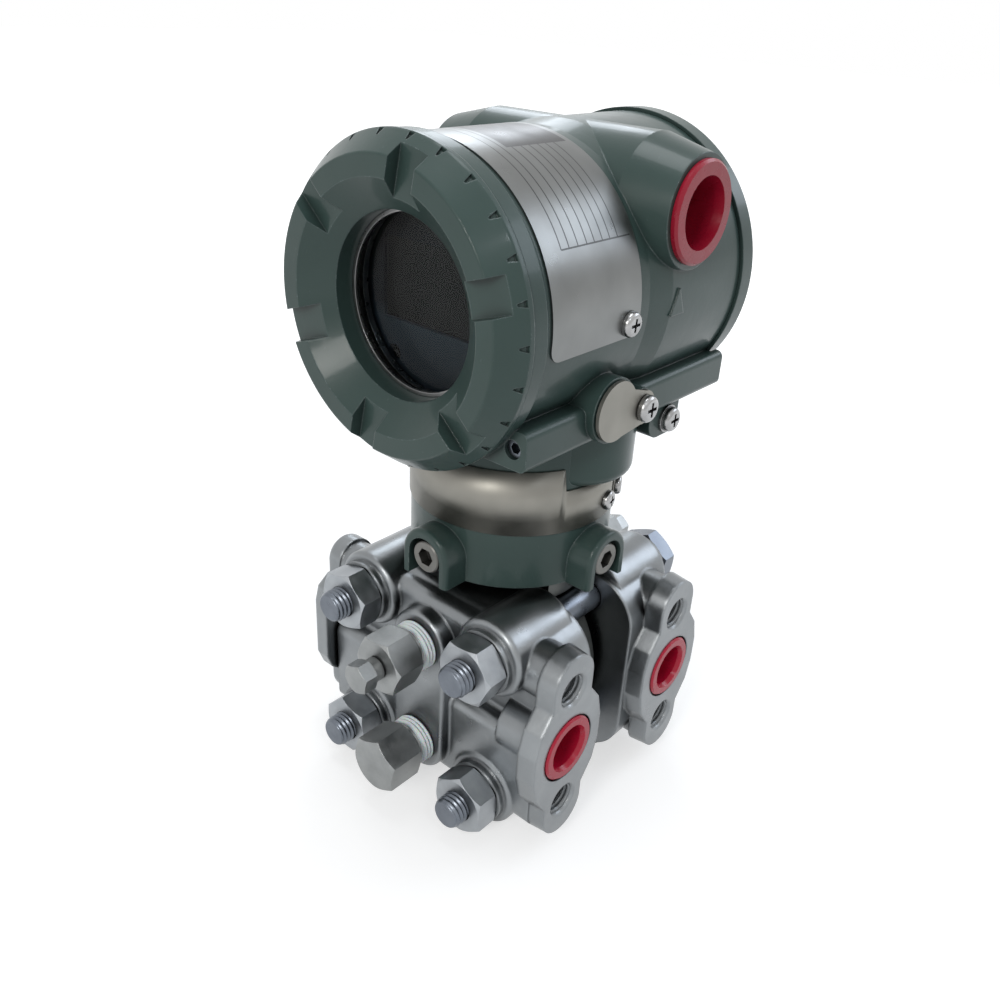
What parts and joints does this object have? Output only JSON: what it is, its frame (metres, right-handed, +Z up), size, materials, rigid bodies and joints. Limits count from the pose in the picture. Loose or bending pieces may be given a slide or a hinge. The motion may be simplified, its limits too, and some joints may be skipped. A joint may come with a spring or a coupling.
{
  "type": "differential pressure transmitter",
  "caption": "Field transmitter for differential pressure: round two-cover amplifier head on a neck, above a capsule clamped between two bolted cover flanges with side ports.",
  "frame": {"origin": "on the standing surface, under the middle of the overall box and the neck axis", "axes": "+X towards the process ports, -Y towards the window cover, +Z up along the neck"},
  "size_m": [0.0996, 0.13, 0.2028],
  "materials": {
    "housing_paint": "semi-gloss enamel on die-cast aluminium",
    "cover_paint": "semi-gloss enamel on die-cast aluminium",
    "flange_steel": "blasted stainless casting",
    "capsule_steel": "turned stainless, dull",
    "bolt_steel": "zinc-plated, dull",
    "nut_steel": "machined stainless",
    "fitting_steel": "machined stainless",
    "screw_steel": "machined stainless",
    "plate_steel": "brushed stainless sheet",
    "plug_plastic": "moulded polyethylene",
    "tape_white": "wound sealing tape",
    "window_clear": "polished",
    "seal_rubber": "matte",
    "ring_metal": "turned",
    "module_plastic": "moulded",
    "display_glass": "glossy panel",
    "terminal_plastic": "moulded"
  },
  "bodies": {
    "transmitter": {"amplifier_housing": "housing_paint", "indicator_module": "module_plastic", "indicator_screws": "screw_steel", "display_panel": "display_glass", "electronics_module": "module_plastic", "terminal_block": "terminal_plastic", "terminal_screws": "screw_steel", "name_plate": "plate_steel", "plate_screws": "screw_steel", "front_tag_band": "plate_steel", "rear_tag_band": "plate_steel", "band_screws": "screw_steel", "neck_screws": "screw_steel", "zero_plate_screw": "screw_steel", "ground_screw": "screw_steel", "ground_washer": "screw_steel", "lock_screw": "bolt_steel", "sensor_capsule": "capsule_steel", "front_gasket": "seal_rubber", "rear_gasket": "seal_rubber", "front_flange": "flange_steel", "rear_flange": "flange_steel", "flange_bolts": "bolt_steel", "flange_nuts": "nut_steel", "front_vent_plug": "fitting_steel", "front_drain_plug": "fitting_steel", "front_thread_tape": "tape_white", "rear_vent_plug": "fitting_steel", "rear_drain_plug": "fitting_steel", "rear_thread_tape": "tape_white"},
    "front_seal": {"front_cover_ring": "seal_rubber"},
    "front_cover": {"front_cover": "cover_paint", "window_glass": "window_clear", "glass_ring": "ring_metal", "glass_seal": "ring_metal"},
    "rear_seal": {"rear_cover_ring": "seal_rubber"},
    "rear_cover": {"rear_cover": "cover_paint"},
    "right_conduit_plug": {"right_conduit_plug": "plug_plastic"},
    "left_conduit_plug": {"left_conduit_plug": "plug_plastic"},
    "front_port_plug": {"front_port_plug": "plug_plastic"},
    "rear_port_plug": {"rear_port_plug": "plug_plastic"},
    "front_vent_screw": {"front_vent_screw": "fitting_steel"},
    "rear_vent_screw": {"rear_vent_screw": "fitting_steel"},
    "zero_cover_plate": {"zero_cover_plate": "plate_steel"},
    "zero_adjust_screw": {"zero_adjust_screw": "screw_steel"}
  },
  "joints": [
    {"name": "front_cover_travel", "type": "slide", "parent": "transmitter", "child": "front_seal", "axis": [0, -1, 0], "range_m": [0, 0.0105]},
    {"name": "front_cover_turn", "type": "hinge", "parent": "front_seal", "child": "front_cover", "pos_m": [0, 0, 0.1606], "axis": [0, -1, 0], "range_deg": [0, 1800]},
    {"name": "rear_cover_travel", "type": "slide", "parent": "transmitter", "child": "rear_seal", "axis": [0, 1, 0], "range_m": [0, 0.0105]},
    {"name": "rear_cover_turn", "type": "hinge", "parent": "rear_seal", "child": "rear_cover", "pos_m": [0, 0, 0.1606], "axis": [0, 1, 0], "range_deg": [0, 1800]},
    {"name": "right_conduit_plug_pull", "type": "slide", "parent": "transmitter", "child": "right_conduit_plug", "axis": [1, 0, 0], "range_m": [0, 0.02]},
    {"name": "left_conduit_plug_pull", "type": "slide", "parent": "transmitter", "child": "left_conduit_plug", "axis": [-1, 0, 0], "range_m": [0, 0.02]},
    {"name": "front_port_plug_pull", "type": "slide", "parent": "transmitter", "child": "front_port_plug", "axis": [1, 0, 0], "range_m": [0, 0.022]},
    {"name": "rear_port_plug_pull", "type": "slide", "parent": "transmitter", "child": "rear_port_plug", "axis": [1, 0, 0], "range_m": [0, 0.022]},
    {"name": "front_vent_screw_turn", "type": "hinge", "parent": "transmitter", "child": "front_vent_screw", "pos_m": [0, -0.06, 0.0553], "axis": [0, -1, 0], "range_deg": [0, 360]},
    {"name": "rear_vent_screw_turn", "type": "hinge", "parent": "transmitter", "child": "rear_vent_screw", "pos_m": [0, 0.06, 0.0553], "axis": [0, 1, 0], "range_deg": [0, 360]},
    {"name": "zero_cover_swivel", "type": "hinge", "parent": "transmitter", "child": "zero_cover_plate", "pos_m": [0.0422, 0.0016, 0.134], "axis": [1, 0, 0], "range_deg": [0, 100]},
    {"name": "zero_adjust_turn", "type": "hinge", "parent": "transmitter", "child": "zero_adjust_screw", "pos_m": [0.0374, -0.011, 0.1362], "axis": [1, 0, 0], "continuous": true}
  ],
  "couplings": [
    {"joint": "front_cover_travel", "follows": "front_cover_turn", "m_per_rad": 0.00031831},
    {"joint": "rear_cover_travel", "follows": "rear_cover_turn", "m_per_rad": 0.00031831}
  ]
}
